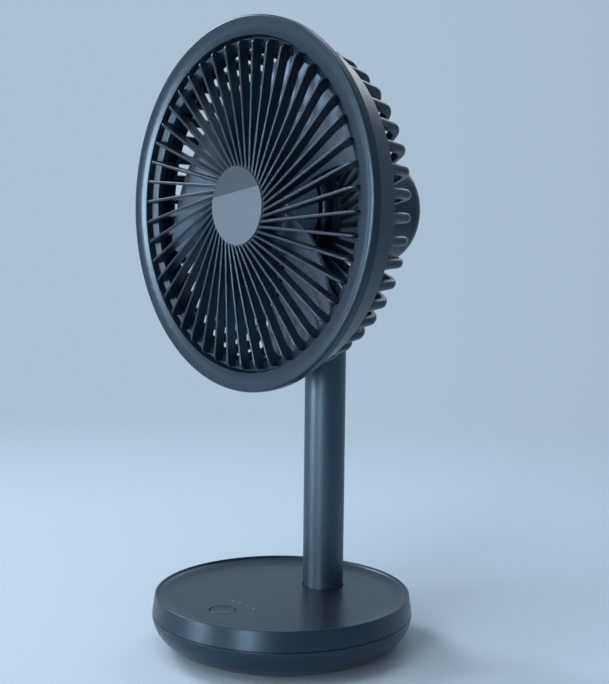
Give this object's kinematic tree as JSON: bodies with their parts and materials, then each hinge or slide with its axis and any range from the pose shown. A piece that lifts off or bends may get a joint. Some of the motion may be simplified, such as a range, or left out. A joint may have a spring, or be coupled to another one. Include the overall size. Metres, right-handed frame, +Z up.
{
  "type": "rechargeable desk fan",
  "caption": "Rechargeable desk fan on a round weighted base, with a slim pole, a tilting caged head with slanted vanes, a broad-bladed impeller and a press button.",
  "frame": {"origin": "centre of the base on the desk, on the underside of the foot pad", "axes": "+Z up, -Y the way the air is blown, +X to the right seen from the front"},
  "size_m": [0.1834, 0.1414, 0.3182],
  "materials": {
    "charcoal_plastic": "satin",
    "impeller_plastic": "gloss",
    "badge_plastic": "satin",
    "pole_paint": "satin",
    "dark_rubber": "matte",
    "plain_steel": "satin",
    "bearing_steel": "polished",
    "board_laminate": "satin",
    "battery_wrap": "satin",
    "coil_winding": "satin",
    "magnet_grey": "matte",
    "clear_pipe": "gloss"
  },
  "bodies": {
    "base": {"base_top_cover": "charcoal_plastic", "base_bottom_shell": "charcoal_plastic", "foot_pad": "dark_rubber", "ballast_plate": "plain_steel", "base_screws": "plain_steel", "battery_pack": "battery_wrap", "control_board": "board_laminate", "button_switch": "dark_rubber", "indicator_leds": "clear_pipe", "light_pipes": "clear_pipe", "charge_board": "board_laminate", "usb_c_port": "plain_steel", "board_screws": "plain_steel", "pole_foot": "plain_steel", "foot_screws": "plain_steel", "pole_tube": "pole_paint", "motor_lead": "dark_rubber", "neck_fork": "charcoal_plastic", "hinge_bolt": "plain_steel", "hinge_nut": "plain_steel", "friction_washers": "dark_rubber"},
    "button": {"power_button": "charcoal_plastic", "switch_plunger": "dark_rubber"},
    "head": {"front_grille": "charcoal_plastic", "badge_disc": "badge_plastic", "rear_cage": "charcoal_plastic", "grille_screws": "plain_steel", "motor_mount": "charcoal_plastic", "bearings": "bearing_steel", "stator_core": "plain_steel", "stator_coils": "coil_winding", "rear_housing": "charcoal_plastic", "housing_screws": "plain_steel", "driver_board": "board_laminate", "driver_screws": "plain_steel", "tilt_tongue": "pole_paint", "tongue_screws": "plain_steel"},
    "rotor": {"impeller": "impeller_plastic", "motor_shaft": "bearing_steel", "magnet_ring": "magnet_grey", "rotor_yoke": "plain_steel"}
  },
  "joints": [
    {"name": "head_tilt", "type": "hinge", "parent": "base", "child": "head", "pos_m": [0, 0.02904, 0.186], "axis": [-1, 0, 0], "range_deg": [-10, 25]},
    {"name": "impeller_spin", "type": "hinge", "parent": "head", "child": "rotor", "pos_m": [0, 0, 0.2265], "axis": [0, -1, 0], "continuous": true},
    {"name": "power_button_press", "type": "slide", "parent": "base", "child": "button", "axis": [0, 0, -1], "range_m": [0, 0.0008], "stiffness_N_per_m": 2500}
  ]
}
